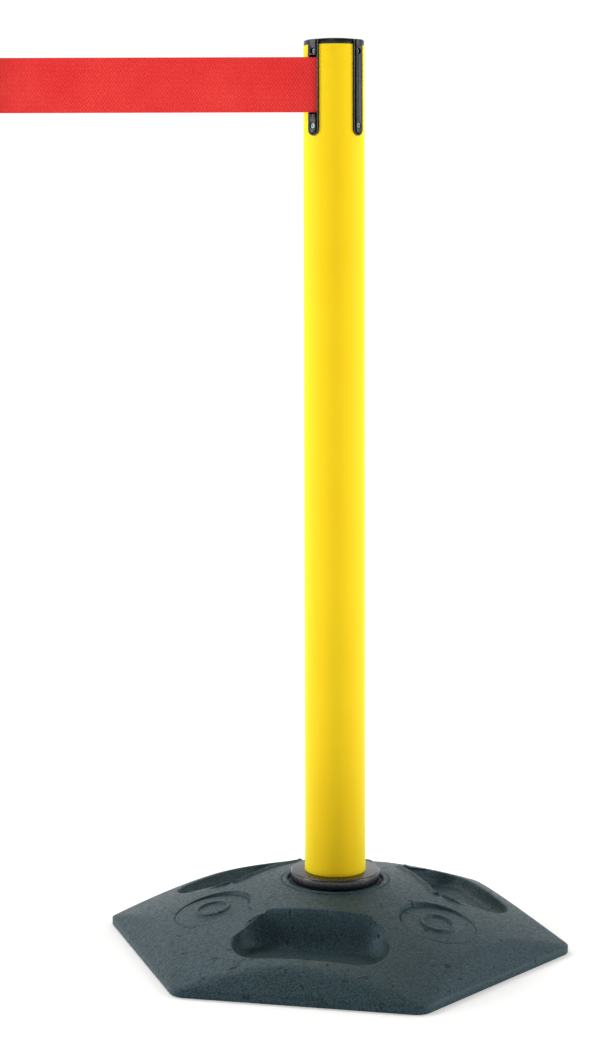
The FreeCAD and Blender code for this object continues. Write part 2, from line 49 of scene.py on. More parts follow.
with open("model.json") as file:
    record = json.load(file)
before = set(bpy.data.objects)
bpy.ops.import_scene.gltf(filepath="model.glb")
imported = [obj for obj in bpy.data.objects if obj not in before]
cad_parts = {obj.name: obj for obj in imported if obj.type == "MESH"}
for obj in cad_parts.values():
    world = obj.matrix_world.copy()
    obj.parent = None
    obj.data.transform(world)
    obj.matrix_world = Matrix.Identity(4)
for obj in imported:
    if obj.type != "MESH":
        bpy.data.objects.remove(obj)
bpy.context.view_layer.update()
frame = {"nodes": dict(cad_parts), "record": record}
MM = 0.001
WELD_DISTANCE = 0.01 * MM


# ---- small helpers ----

def mesh_piece(name, points, faces, smooth=True):
    """A new object from numpy points and a list of faces."""
    mesh = bpy.data.meshes.new(name)
    mesh.from_pydata([tuple(point) for point in points], [], faces)
    mesh.update()
    for polygon in mesh.polygons:
        polygon.use_smooth = smooth
    piece = bpy.data.objects.new(name, mesh)
    bpy.context.scene.collection.objects.link(piece)
    return piece


def weld_piece(piece, distance=WELD_DISTANCE / 10):
    """Join the points that neighbouring patches share, and turn all faces outward."""
    work = bmesh.new()
    work.from_mesh(piece.data)
    bmesh.ops.remove_doubles(work, verts=work.verts, dist=distance)
    bmesh.ops.recalc_face_normals(work, faces=work.faces)
    work.to_mesh(piece.data)
    work.free()


def smooth_step(value):
    clamped = np.clip(value, 0.0, 1.0)
    return clamped * clamped * (3.0 - 2.0 * clamped)


def bump_profile(value, middle, width):
    """A smooth hump, 1 at its middle."""
    return np.exp(-((value - middle) / width) ** 2)


def soft_min(a, b, width):
    """The lower of two heights, with their crease rounded over a width."""
    mix = np.clip(0.5 + 0.5 * (b - a) / width, 0.0, 1.0)
    return b + (a - b) * mix - width * mix * (1.0 - mix)


def strips(loops, closed=False):
    """Points and faces of a band of matching loops, each an open run of points."""
    count = len(loops[0])
    points = np.vstack(loops)
    faces = []
    last = count if closed else count - 1
    for ring in range(len(loops) - 1):
        for index in range(last):
            following = (index + 1) % count
            a, b = ring * count + index, ring * count + following
            faces.append((a, b, b + count, a + count))
    return points, faces


# ---- materials ----

class Shader:
    """A node material under construction: a principled shader and short ways to add to it."""

    def __init__(self, name, roughness=0.5, metallic=0.0, specular=0.5):
        self.material = bpy.data.materials.new(name)
        self.material.use_nodes = True
        self.tree = self.material.node_tree
        self.surface = self.tree.nodes["Principled BSDF"]
        self.surface.inputs["Roughness"].default_value = roughness
        self.surface.inputs["Metallic"].default_value = metallic
        self.surface.inputs["Specular IOR Level"].default_value = specular
        self.coordinates = self.tree.nodes.new("ShaderNodeTexCoord").outputs["Object"]

    def node(self, kind, **values):
        made = self.tree.nodes.new(kind)
        for key, value in values.items():
            if key in made.inputs:
                made.inputs[key].default_value = value
            else:
                setattr(made, key, value)
        return made

    def link(self, source, target):
        self.tree.links.new(source, target)

    def stretched(self, scale):
        mapping = self.node("ShaderNodeMapping")
        mapping.inputs["Scale"].default_value = scale
        self.link(self.coordinates, mapping.inputs["Vector"])
        return mapping.outputs["Vector"]

    def noise(self, scale, detail=3.0, roughness=0.5, vector=None):
        made = self.node("ShaderNodeTexNoise", Scale=scale, Detail=detail, Roughness=roughness)
        self.link(vector or self.coordinates, made.inputs["Vector"])
        return made.outputs["Fac"]

    def math(self, operation, first, second=0.0):
        made = self.node("ShaderNodeMath", operation=operation)
        for socket, value in zip(made.inputs, (first, second)):
            if isinstance(value, (int, float)):
                socket.default_value = value
            else:
                self.link(value, socket)
        return made.outputs[0]

    def spread(self, value, low, high, to_low=0.0, to_high=1.0):
        made = self.node("ShaderNodeMapRange")
        made.inputs["From Min"].default_value = low
        made.inputs["From Max"].default_value = high
        made.inputs["To Min"].default_value = to_low
        made.inputs["To Max"].default_value = to_high
        self.link(value, made.inputs["Value"])
        return made.outputs["Result"]

    def mix(self, factor, first, second):
        made = self.node("ShaderNodeMix", data_type="RGBA")
        self.link(factor, made.inputs["Factor"])
        for socket, value in ((made.inputs[6], first), (made.inputs[7], second)):
            if isinstance(value, tuple):
                socket.default_value = (*value, 1.0)
            else:
                self.link(value, socket)
        return made.outputs[2]

    def color(self, source):
        if isinstance(source, tuple):
            self.surface.inputs["Base Color"].default_value = (*source, 1.0)
        else:
            self.link(source, self.surface.inputs["Base Color"])

    def rough(self, source):
        self.link(source, self.surface.inputs["Roughness"])

    def bump(self, height, distance, strength=1.0):
        made = self.node("ShaderNodeBump", Strength=strength, Distance=distance)
        self.link(height, made.inputs["Height"])
        self.link(made.outputs["Normal"], self.surface.inputs["Normal"])


def rubber_material():
    """Moulded recycled rubber: crumb grain, dusty high spots, and pits that are dented and darkened with
    painted shade.
    """
    shader = Shader("base_rubber", roughness=0.50, specular=0.48)
    shader.surface.inputs["Specular Tint"].default_value = (0.62, 0.86, 1.0, 1.0)
    grain = shader.noise(620.0, detail=3.0, roughness=0.6)
    crumbs = shader.noise(240.0, detail=2.0)
    clouds = shader.noise(11.0, detail=3.0)
    pit_dents_painted_shade = shader.spread(shader.noise(95.0, detail=2.0), 0.66, 0.72)
    speck = shader.spread(grain, 0.44, 0.60)
    tone = shader.mix(speck, (0.003, 0.013, 0.016), (0.034, 0.068, 0.079))
    dusty = shader.mix(shader.spread(clouds, 0.35, 0.72, 0.0, 0.30), tone, (0.036, 0.066, 0.080))
    # Painted shade: the pits are darkened where they are dented.
    shader.color(shader.mix(pit_dents_painted_shade, dusty, (0.003, 0.008, 0.009)))
    shader.rough(shader.spread(crumbs, 0.3, 0.7, 0.40, 0.60))
    grainy = shader.math("ADD", shader.math("MULTIPLY", grain, 0.6), shader.math("MULTIPLY", crumbs, 0.4))
    shader.bump(shader.math("SUBTRACT", grainy, pit_dents_painted_shade), 1.0 * MM, 0.85)
    return shader.material


def tube_material():
    """Yellow extruded tube with a faint orange peel; its colour carries painted shade, deeper in tone where
    it is seen face on, and painted light, paler and more lemon towards its silhouette.
    """
    shader = Shader("tube_yellow", roughness=0.42, specular=0.08)
    peel = shader.noise(520.0, detail=2.0)
    clouds = shader.noise(9.0, detail=2.0)
    # Painted light and shade: the tube's colour turns paler towards its silhouette and deeper face on, by the
    # angle it is seen at.
    edge_on_painted_light = shader.node("ShaderNodeLayerWeight", Blend=0.5).outputs["Facing"]
    face_on_painted_shade = shader.mix(shader.spread(clouds, 0.3, 0.7), (0.880, 0.590, 0.008), (0.900, 0.630, 0.010))
    shader.color(shader.mix(shader.spread(edge_on_painted_light, 0.25, 0.85), face_on_painted_shade, (0.900, 0.740, 0.004)))
    shader.rough(shader.spread(peel, 0.3, 0.7, 0.38, 0.50))
    shader.bump(peel, 0.10 * MM, 0.4)
    return shader.material


def plastic_material(name, color, worn, roughness, specular=0.30):
    """Moulded plastic: fine spark texture, with a paler bloom in broad patches."""
    shader = Shader(name, roughness=roughness, specular=specular)
    fine = shader.noise(900.0, detail=2.0)
    clouds = shader.noise(38.0, detail=4.0)
    shader.color(shader.mix(shader.spread(clouds, 0.38, 0.72), color, worn))
    shader.rough(shader.spread(fine, 0.3, 0.7, roughness - 0.07, roughness + 0.09))
    shader.bump(fine, 0.10 * MM, 0.5)
    return shader.material


def metal_material(name, color, roughness, stretch=(1.0, 1.0, 14.0)):
    """Plated metal with faint drawn lines."""
    shader = Shader(name, roughness=roughness, metallic=1.0)
    lines = shader.noise(260.0, detail=4.0, vector=shader.stretched(stretch))
    stains = shader.noise(30.0, detail=4.0)
    darker = tuple(channel * 0.72 for channel in color)
    shader.color(shader.mix(shader.spread(stains, 0.35, 0.7), color, darker))
    shader.rough(shader.spread(lines, 0.3, 0.7, roughness - 0.08, roughness + 0.12))
    shader.bump(lines, 0.05 * MM, 0.4)
    return shader.material


def webbing_material():
    """Woven polyester webbing: steep twill ribs crossed by picks, with small dark gaps between them."""
    shader = Shader("belt_red", roughness=0.66, specular=0.3)
    surface = shader.surface
    surface.inputs["Sheen Weight"].default_value = 0.15
    surface.inputs["Sheen Roughness"].default_value = 0.45
    surface.inputs["Sheen Tint"].default_value = (1.0, 0.45, 0.40, 1.0)
    split = shader.node("ShaderNodeSeparateXYZ")
    shader.link(shader.coordinates, split.inputs["Vector"])
    along, up = split.outputs["X"], split.outputs["Z"]
    twill_along, twill_up, thread_spacing, dash_spacing = 3.4 * MM, 5.2 * MM, 1.3 * MM, 2.6 * MM

    def wave(source, period):
        return shader.math("MULTIPLY", source, 2.0 * math.pi / period)

    twill = shader.math("SINE", shader.math("ADD", wave(along, twill_along), wave(up, twill_up)))
    thread = shader.math("SINE", wave(up, thread_spacing))
    dash = shader.math("MULTIPLY", twill, shader.math("SINE", wave(up, dash_spacing)))
    fibres = shader.noise(1500.0, detail=2.0, vector=shader.stretched((0.3, 1.0, 1.0)))
    fade = shader.noise(24.0, detail=3.0)
    body = shader.mix(shader.spread(fade, 0.3, 0.7), (0.840, 0.024, 0.022), (0.900, 0.042, 0.034))
    shader.color(shader.mix(shader.spread(dash, 0.40, 1.00), body, (0.520, 0.008, 0.016)))
    weave = shader.math("ADD", shader.math("MULTIPLY", twill, 0.6), shader.math("MULTIPLY", thread, 0.4))
    height = shader.math("ADD", weave, shader.math("MULTIPLY", fibres, 0.5))
    shader.bump(height, 0.16 * MM, 0.8)
    return shader.material


MATERIALS = {
    "base_rubber": rubber_material(),
    "tube_yellow": tube_material(),
    "head_black": plastic_material("head_black", (0.004, 0.007, 0.009), (0.010, 0.015, 0.019), 0.30),
    "foot_grey": plastic_material("foot_grey", (0.008, 0.008, 0.011), (0.015, 0.015, 0.020), 0.27, 0.65),
    "zinc_steel": metal_material("zinc_steel", (0.66, 0.66, 0.63), 0.34),
    "screw_steel": metal_material("screw_steel", (0.16, 0.16, 0.18), 0.24, stretch=(6.0, 6.0, 1.0)),
    "cassette_nylon": plastic_material("cassette_nylon", (0.045, 0.045, 0.050), (0.065, 0.065, 0.070), 0.45),
    "brake_liner": plastic_material("brake_liner", (0.200, 0.130, 0.080), (0.260, 0.170, 0.110), 0.75),
    "bush_bronze": metal_material("bush_bronze", (0.62, 0.43, 0.21), 0.42),
    "spring_steel": metal_material("spring_steel", (0.33, 0.36, 0.44), 0.28),
    "belt_red": webbing_material(),
}


def finish_piece(piece, body, slot, *nodes):
    """Give a new piece its material, body and slot, and let it stand for its CAD nodes."""
    piece.data.materials.clear()
    piece.data.materials.append(MATERIALS[slot])
    if body:
        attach(piece, body)
    if nodes:
        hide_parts(*nodes)


def finish_frame_nodes():
    """CAD nodes keep their shape: they get materials, smooth shading and softly broken edges."""
    slots = {part["node"]: part["material_slot"] for part in frame["record"]["subparts"]}
    edge_width = {"post_foot": 0.4, "top_cap": 0.6}
    usual_edge_width = 0.25
    seam_distance = 0.002 * MM
    sharpest_smooth_angle = math.radians(40)
    for name, node in frame["nodes"].items():
        node.data.materials.clear()
        node.data.materials.append(MATERIALS[slots[name]])
        node.data.polygons.foreach_set("use_smooth", [True] * len(node.data.polygons))
        weld = node.modifiers.new("weld", "WELD")
        weld.merge_threshold = seam_distance
        bevel = node.modifiers.new("broken_edges", "BEVEL")
        bevel.width = edge_width.get(name, usual_edge_width) * MM
        bevel.segments = 2
        bevel.limit_method = "ANGLE"
        bevel.angle_limit = sharpest_smooth_angle
        bevel.harden_normals = True


# ---- tube ----

class Tube:
    """The tube in millimetres: four slots with half-round feet run down from its top."""
    outer = 32.6
    inner = 29.4
    bottom = 75.2
    top = 957.0
    top_chamfer = 0.5
    slot_half = 6.45
    slot_foot = 867.6
    slot_middle = 912.0
    first_slot = -43.0
    steps_between = 24
    steps_in_slot = 12
    rows = (0.0, 0.15, 0.3, 0.45, 0.6, 0.75, 0.9, 0.97, 1.0)


def tube_columns():
    """(angle, height of the slot's foot there, is it inside a slot) once round the tube."""
    edge = math.asin(Tube.slot_half / Tube.outer)
    columns = []
    for quarter in range(4):
        middle = math.radians(Tube.first_slot + 90 * quarter)
        for step in range(Tube.steps_in_slot):
            turn = -math.cos(math.pi * step / Tube.steps_in_slot)
            across = turn * Tube.slot_half
            foot = Tube.slot_foot - math.sqrt(max(Tube.slot_half ** 2 - across ** 2, 0.0))
            columns.append((middle + math.asin(across / Tube.outer), foot, True))
        free = math.pi / 2 - 2 * edge
        for step in range(Tube.steps_between):
            columns.append((middle + edge + free * step / Tube.steps_between, Tube.slot_foot, False))
    return columns


def make_tube():
    """Outer and inner walls, the rim and the slots' sides, joined into one closed mesh."""
    columns = tube_columns()
    count = len(columns)
    points, faces = [], []

    def add_row(radius, heights):
        first = len(points)
        points.extend((radius * math.cos(angle), radius * math.sin(angle), height)
                      for (angle, _, _), height in zip(columns, heights))
        return first

    def feet(radius, share):
        return add_row(radius, [Tube.bottom + (foot - Tube.bottom) * share for _, foot, _ in columns])

    def level(radius, height):
        return add_row(radius, [height] * count)

    def band(low, high, wanted):
        for index in range(count):
            after = (index + 1) % count
            if wanted(index):
                faces.append((low + index, low + after, high + after, high + index))

    def solid(index):
        return not columns[index][2]

    outside = [feet(Tube.outer, share) for share in Tube.rows]
    inside = [feet(Tube.inner, share) for share in Tube.rows]
    for low, high in zip(outside, outside[1:]):
        band(low, high, lambda index: True)
    for low, high in zip(inside, inside[1:]):
        band(high, low, lambda index: True)
    band(inside[0], outside[0], lambda index: True)
    band(outside[-1], inside[-1], lambda index: not solid(index))
    walls_out = [outside[-1], level(Tube.outer, Tube.slot_middle)]
    walls_out.append(level(Tube.outer, Tube.top - Tube.top_chamfer))
    rim = level(Tube.outer - Tube.top_chamfer, Tube.top)
    walls_in = [inside[-1], level(Tube.inner, Tube.slot_middle), level(Tube.inner, Tube.top)]
    for low, high in zip(walls_out, walls_out[1:] + [rim]):
        band(low, high, solid)
    for low, high in zip(walls_in, walls_in[1:]):
        band(high, low, solid)
    band(rim, walls_in[-1], solid)
    for index in range(count):
        before = (index - 1) % count
        if solid(index) and not solid(before) or not solid(index) and solid(before):
            ring_out = [row + index for row in walls_out] + [rim + index]
            ring_in = [row + index for row in walls_in]
            side = ring_out + ring_in[::-1]
            faces.append(tuple(side if solid(index) else side[::-1]))
    tube = mesh_piece("post_tube_yellow", np.array(points) * MM, faces)
    loose = bmesh.new()
    loose.from_mesh(tube.data)
    bmesh.ops.delete(loose, geom=[point for point in loose.verts if not point.link_faces], context="VERTS")
    loose.to_mesh(tube.data)
    loose.free()
    weld_piece(tube, WELD_DISTANCE)
    tube.data.set_sharp_from_angle(angle=math.radians(30))
    finish_piece(tube, "stand", "tube_yellow", "post_tube")


# ---- rubber base ----

class Base:
    """Shape of the moulded base, in millimetres, worked out in each of its six sectors.

    A sector runs from the hub out to one side.  A place in it is out (towards the side) and across.
    """
    flats = 435.0
    corner_angle = -12.3
    corner_round = 18.0
    hub_radius = 58.5
    hub_height = 64.0
    slope = 0.1716
    curve = 0.00065
    side_height = 8.0
    bevel_slope = 0.839
    crease = 3.0
    seat_height = 63.9
    socket_radius = 30.5
    socket_floor = 39.5
    hole_radius = 7.0
    counterbore_radius = 32.0
    counterbore_height = 14.0
    underside_inner = 33.0
    foot_chamfer = 1.2
    recess_centre = 138.0
    recess_hub_side = 97.5
    recess_outer_side = 177.5
    recess_half = 80.5
    recess_hub_corner = 34.0
    recess_outer_corner = 32.0
    recess_floor = 20.5
    recess_floor_rise = 1.5
    recess_floor_reach = 80.0
    recess_taper = 30.0
    recess_wall = 11.0
    recess_wall_extra = 5.0
    recess_wall_power = 2.3
    lip_start = 18.0
    lip_fade = 14.0
    lip_rise = 2.8
    lip_middle = 3.4
    lip_width = 2.2
    lip_crease_depth = 0.8
    lip_crease_middle = 7.4
    lip_crease_width = 1.3
    edge_drop = 0.9
    edge_reach = 2.2
    pad_centre = 138.0
    pad_radius = 41.0
    pad_level_share = 0.7
    pad_tilt_share = 1.5
    pad_least_tilt = 0.12
    pad_step = 4.0
    pad_step_width = 1.2
    pad_groove_depth = 1.1
    pad_groove_width = 0.8
    ring_radius = 17.0
    ring_half = 1.7
    ring_edge = 0.7
    ring_rise = 2.2


def dome_height(radius):
    past_hub = np.maximum(radius - Base.hub_radius, 0.0)
    return Base.hub_height - Base.slope * past_hub - Base.curve * past_hub ** 2


def outside_height(out, across):
    """Top surface away from the recesses: the dome, and the bevel at the perimeter."""
    radius = np.hypot(out, across)
    bevel = Base.side_height + (Base.flats / 2 - out) * Base.bevel_slope
    return soft_min(dome_height(radius), bevel, Base.crease)


def arc_points(centre, radius, start, end, count):
    angles = np.radians(np.linspace(start, end, count))
    return [(centre[0] + radius * math.cos(a), centre[1] + radius * math.sin(a)) for a in angles]


def rounded_outline(corners, steps=10):
    """Closed outline from (x, y, radius) corners, each rounded by an arc."""
    points = []
    count = len(corners)
    for index, (x, y, radius) in enumerate(corners):
        here = np.array((x, y))
        to_last = np.array(corners[index - 1][:2]) - here
        to_next = np.array(corners[(index + 1) % count][:2]) - here
        to_last /= np.linalg.norm(to_last)
        to_next /= np.linalg.norm(to_next)
        half = math.acos(np.clip(to_last @ to_next, -1, 1)) / 2
        reach = radius / math.tan(half)
        bisector = (to_last + to_next) / np.linalg.norm(to_last + to_next)
        centre = here + bisector * radius / math.sin(half)
        first = here + to_last * reach - centre
        last = here + to_next * reach - centre
        start = math.atan2(first[1], first[0])
        sweep = (math.atan2(last[1], last[0]) - start + math.pi) % (2 * math.pi) - math.pi
        for step in range(steps + 1):
            angle = start + sweep * step / steps
            points.append(centre + radius * np.array((math.cos(angle), math.sin(angle))))
    return np.array(points)


def recess_outline():
    hub_side = (Base.recess_hub_side, Base.recess_hub_corner)
    outer_side = (Base.recess_outer_side, Base.recess_outer_corner)
    turns = ((hub_side, 1), (hub_side, -1), (outer_side, -1), (outer_side, 1))
    return rounded_outline([(out, sign * Base.recess_half, radius) for (out, radius), sign in turns])


def pad_outline():
    return np.array(arc_points((Base.pad_centre, 0.0), Base.pad_radius, 180, 540, 97)[:-1])


def sector_boundary():
    """Closed boundary of one sector, counted round from the hub: hub arc, edge line, side, edge line."""
    half = Base.flats / 2
    corner = half / math.cos(math.radians(30))
    tangent = Base.corner_round * math.tan(math.radians(30))
    centre_out = half - Base.corner_round
    centre_across = half * math.tan(math.radians(30)) - tangent
    tip = corner - (Base.corner_round / math.cos(math.radians(30)) - Base.corner_round)
    hub = arc_points((0.0, 0.0), Base.hub_radius, 30, -30, 41)
    ray = np.linspace(Base.hub_radius, tip, 45)[1:-1]
    down = [(r * math.cos(math.radians(30)), -r * math.sin(math.radians(30))) for r in ray]
    low_corner = arc_points((centre_out, -centre_across), Base.corner_round, -30, 0, 7)
    side = [(half, y) for y in np.linspace(-centre_across, centre_across, 85)[1:-1]]
    high_corner = arc_points((centre_out, centre_across), Base.corner_round, 0, 30, 7)
    up = [(x, -y) for x, y in reversed(down)]
    points = hub + down + low_corner + side + high_corner + up
    first_side = len(hub) + len(down)
    rim = range(first_side, first_side + len(low_corner) + len(side) + len(high_corner))
    return np.array(points), len(hub), rim


def hit_outline(centre, targets, outline):
    """Where the rays from centre to each target cross a closed outline."""
    following = np.roll(outline, -1, axis=0)
    hits = []
    for target in targets:
        ray = target - centre
        edge = following - outline
        offset = outline - centre
        cross = ray[0] * edge[:, 1] - ray[1] * edge[:, 0]
        cross = np.where(np.abs(cross) < 1e-12, 1e-12, cross)
        along_ray = (offset[:, 0] * edge[:, 1] - offset[:, 1] * edge[:, 0]) / cross
        along_edge = (offset[:, 0] * ray[1] - offset[:, 1] * ray[0]) / cross
        good = (along_ray > 0) & (along_edge >= -1e-9) & (along_edge <= 1 + 1e-9)
        hits.append(centre + ray * along_ray[good].min())
    return np.array(hits)


def outline_distance(points, outline):
    """Distance from each point to a closed outline."""
    following = np.roll(outline, -1, axis=0)
    edge = following - outline
    best = np.full(len(points), np.inf)
    for start, vector in zip(outline, edge):
        length = vector @ vector
        if length < 1e-12:
            continue
        share = np.clip((points - start) @ vector / length, 0.0, 1.0)
        nearest = start + share[:, None] * vector
        best = np.minimum(best, np.linalg.norm(points - nearest, axis=1))
    return best


def recess_height(points, depth_in):
    """Inside a hand recess: steep from the lip, then a smooth bowl.  The hub side is the tallest."""
    out, across = points[:, 0], points[:, 1]
    top = outside_height(out, across)
    hubward = np.clip((Base.recess_centre - out) / Base.recess_taper, -0.4, 1.0)
    wall = Base.recess_wall + Base.recess_wall_extra * hubward
    floor = Base.recess_floor + Base.recess_floor_rise * (across / Base.recess_floor_reach) ** 2
    sink = 1.0 - (1.0 - np.clip(depth_in / wall, 0.0, 1.0)) ** Base.recess_wall_power
    return top + (floor - top) * sink


def recess_lip(points, distance):
    """Outside a hand recess: a rolled lip along its hub side, and an eased edge all round."""
    hubward = smooth_step((Base.recess_centre - Base.lip_start - points[:, 0]) / Base.lip_fade)
    roll = Base.lip_rise * bump_profile(distance, Base.lip_middle, Base.lip_width)
    crease = Base.lip_crease_depth * bump_profile(distance, Base.lip_crease_middle, Base.lip_crease_width)
    eased = Base.edge_drop * np.clip(1.0 - distance / Base.edge_reach, 0.0, 1.0) ** 2
    return hubward * (roll - crease) - eased


def pad_ring_height(points):
    """A plain raised ring round a pad's middle."""
    from_middle = np.hypot(points[:, 0] - Base.pad_centre, points[:, 1])
    from_ring = np.abs(from_middle - Base.ring_radius)
    return Base.ring_rise * smooth_step((Base.ring_half + Base.ring_edge - from_ring) / (2 * Base.ring_edge))


def pad_height(points, depth_in):
    """Inside a round pad: sunk by a step on the hub side, and level with the dome on the outer side."""
    out, across = points[:, 0], points[:, 1]
    top = outside_height(out, across)
    level_from = Base.pad_centre + Base.pad_radius * Base.pad_level_share
    tilt = np.clip((level_from - out) / (Base.pad_radius * Base.pad_tilt_share), Base.pad_least_tilt, 1.0)
    step = Base.pad_step * tilt * smooth_step(depth_in / Base.pad_step_width)
    groove = Base.pad_groove_depth * bump_profile(depth_in, Base.pad_step_width, Base.pad_groove_width)
    return top - step - groove + pad_ring_height(points)


def sector_patch(is_recess):
    """Points and faces of one sector's top: rings inward from the feature's outline, and outward from it."""
    boundary, hub_count, rim = sector_boundary()
    outline = recess_outline() if is_recess else pad_outline()
    centre = np.array((Base.recess_centre if is_recess else Base.pad_centre, 0.0))
    on_outline = hit_outline(centre, boundary, outline)
    count = len(boundary)
    rings = []
    close = np.array([0.0, 0.006, 0.015, 0.03, 0.05, 0.075, 0.105, 0.14])
    ring_count = 12 if is_recess else 46
    inward = np.concatenate((close, np.linspace(0.18, 0.96, ring_count)))
    for share in inward[::-1]:
        points = on_outline + (centre - on_outline) * share
        depth_in = outline_distance(points, outline) if share > 0 else np.zeros(count)
        height = recess_height(points, depth_in) if is_recess else pad_height(points, depth_in)
        if is_recess and share == 0:
            height = outside_height(points[:, 0], points[:, 1]) + recess_lip(points, np.zeros(count))
        rings.append(np.column_stack((points, height)))
    shares = np.concatenate((np.array([0.008, 0.02, 0.036, 0.056, 0.08]), np.linspace(0.11, 1.0, 27)))
    for share in shares:
        points = on_outline + (boundary - on_outline) * share
        height = outside_height(points[:, 0], points[:, 1])
        if is_recess and share < 1:
            height = height + recess_lip(points, outline_distance(points, outline))
        rings.append(np.column_stack((points, height)))
    points, faces = strips(rings, closed=True)
    middle = rings[0].mean(axis=0)
    points = np.vstack((points, middle))
    faces += [(len(points) - 1, (index + 1) % count, index) for index in range(count)]
    return points, faces, boundary, hub_count, rim


def turned(points, angle):
    cosine, sine = math.cos(math.radians(angle)), math.sin(math.radians(angle))
    result = points.copy()
    result[:, 0] = points[:, 0] * cosine - points[:, 1] * sine
    result[:, 1] = points[:, 0] * sine + points[:, 1] * cosine
    return result


def hub_profile():
    """Hub from the dome in to the socket, and down to the underside: (radius, height)."""
    seat, floor, roof = Base.seat_height, Base.socket_floor, Base.counterbore_height
    bore, hole, counterbore = Base.socket_radius, Base.hole_radius, Base.counterbore_radius
    outer_groove = [(Base.hub_radius, Base.hub_height), (58.1, 63.3), (57.6, 62.9), (57.2, 63.3)]
    ring = [(57.0, 64.2), (56.6, 65.0), (55.8, 65.3), (54.2, 65.3), (52.6, 65.3), (51.9, 65.0), (51.6, 64.2)]
    inner_groove = [(51.5, 62.6), (51.2, 61.2), (50.4, 60.7), (49.2, 60.7), (48.4, 61.0), (48.1, 62.2)]
    seat_edge = [(48.0, 63.6), (47.6, seat), (40.0, seat), (31.2, seat)]
    socket_wall = [(bore, 63.4), (bore, 52.0), (bore, floor), (18.0, floor)]
    bolt_hole = [(hole, floor), (hole, 26.0), (hole, roof)]
    underside = [(19.0, roof), (counterbore, roof), (counterbore, 7.0), (counterbore, 0.8), (32.8, 0.0)]
    return outer_groove + ring + inner_groove + seat_edge + socket_wall + bolt_hole + underside


def hub_angles(hub_count):
    step = 60.0 / (hub_count - 1)
    return np.arange(0.0, 360.0 - step / 2, step)


def build_base():
    all_points, all_faces = [], []

    def add(points, faces):
        first = sum(len(block) for block in all_points)
        all_points.append(points)
        all_faces.extend(tuple(index + first for index in face) for face in faces)

    recess = sector_patch(True)
    pad = sector_patch(False)
    for sector in range(6):
        points, faces, boundary, hub_count, rim = recess if sector % 2 == 0 else pad
        turn = Base.corner_angle + 30.0 + 60.0 * sector
        add(turned(points, turn), faces)
        edge = boundary[list(rim)]
        top = outside_height(edge[:, 0], edge[:, 1])
        outward = edge / np.linalg.norm(edge, axis=1)[:, None]
        inset = edge - outward * Base.foot_chamfer
        inner = outward * Base.underside_inner
        loops = []
        for share in (1.0, 0.66, 0.33, 0.0):
            loops.append(np.column_stack((edge, top * share + Base.foot_chamfer * (1 - share))))
        loops.append(np.column_stack((inset, np.zeros(len(edge)))))
        for share in (0.2, 0.5, 0.8):
            loops.append(np.column_stack((inset + (inner - inset) * share, np.zeros(len(edge)))))
        side_points, side_faces = strips(loops)
        add(turned(side_points, turn), side_faces)
    return all_points, all_faces, hub_count


def make_base():
    """The base as one mesh, open on its underside round the counterbore; it stands for the CAD solid."""
    all_points, all_faces, hub_count = build_base()
    angles = np.radians(hub_angles(hub_count) + Base.corner_angle)
    loops = [np.column_stack((radius * np.cos(angles), radius * np.sin(angles), np.full(len(angles), height)))
             for radius, height in hub_profile()]
    points, faces = strips(loops, closed=True)
    first = sum(len(block) for block in all_points)
    all_points.append(points)
    all_faces.extend(tuple(index + first for index in face) for face in faces)
    stacked = np.vstack(all_points) * MM
    base = mesh_piece("rubber_base_moulding", stacked, all_faces)
    weld_piece(base, WELD_DISTANCE)
    finish_piece(base, "stand", "base_rubber", "rubber_base")


# ---- belt ----

def belt_section(width, thickness, bottom):
    """Cross-section of the webbing as (offset from its middle plane, height): round selvedges, fine ribs."""
    ribs = 44
    rib_depth, first_rib, edge_share = 0.035 * MM, 0.4 * MM, 0.55
    bead_height, bead_middle, bead_width = 0.10 * MM, 0.9 * MM, 0.7 * MM
    half = thickness / 2
    heights = np.linspace(bottom + first_rib, bottom + width - first_rib, ribs * 2 + 1)
    face = []
    for index, height in enumerate(heights):
        from_edge = min(height - bottom, bottom + width - height)
        bead = bead_height * math.exp(-((from_edge - bead_middle) / bead_width) ** 2)
        rib = rib_depth * (index % 2)
        face.append((half + bead - rib, height))
    back = [(-offset, height) for offset, height in reversed(face)]
    top = [(half * edge_share, bottom + width), (-half * edge_share, bottom + width)]
    low = [(-half * edge_share, bottom), (half * edge_share, bottom)]
    return face + top + back + low


def make_belt():
    low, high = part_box("belt")
    middle = (low.y + high.y) / 2
    section = belt_section(high.z - low.z, high.y - low.y, low.z)
    spacing = 3.0 * MM
    stations = np.linspace(high.x, low.x, int((high.x - low.x) / spacing) + 1)
    loops = [np.array([(x, middle + offset, height) for offset, height in section]) for x in stations]
    points, faces = strips(loops, closed=True)
    count = len(section)
    faces.append(tuple(range(count - 1, -1, -1)))
    faces.append(tuple(range(len(points) - count, len(points))))
    belt = mesh_piece("belt_webbing", points, faces)
    weld_piece(belt)
    finish_piece(belt, None, "belt_red", "belt")
    _, clip_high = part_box("clip_front")
    start, end = high.x, clip_high.x
    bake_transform(belt, "stand", "belt_end", start=(start, middle, low.z), end=(end, middle, low.z))
    stretch_evenly(belt, start, end)


def stretch_evenly(piece, start, end):
    """Share the pull evenly along the piece, so that the webbing keeps one spacing at every length."""
    weights = piece.data.attributes["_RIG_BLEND"]
    for point, weight in zip(piece.data.vertices, weights.data):
        weight.value = min(max((point.co.x - start) / (end - start), 0.0), 1.0)


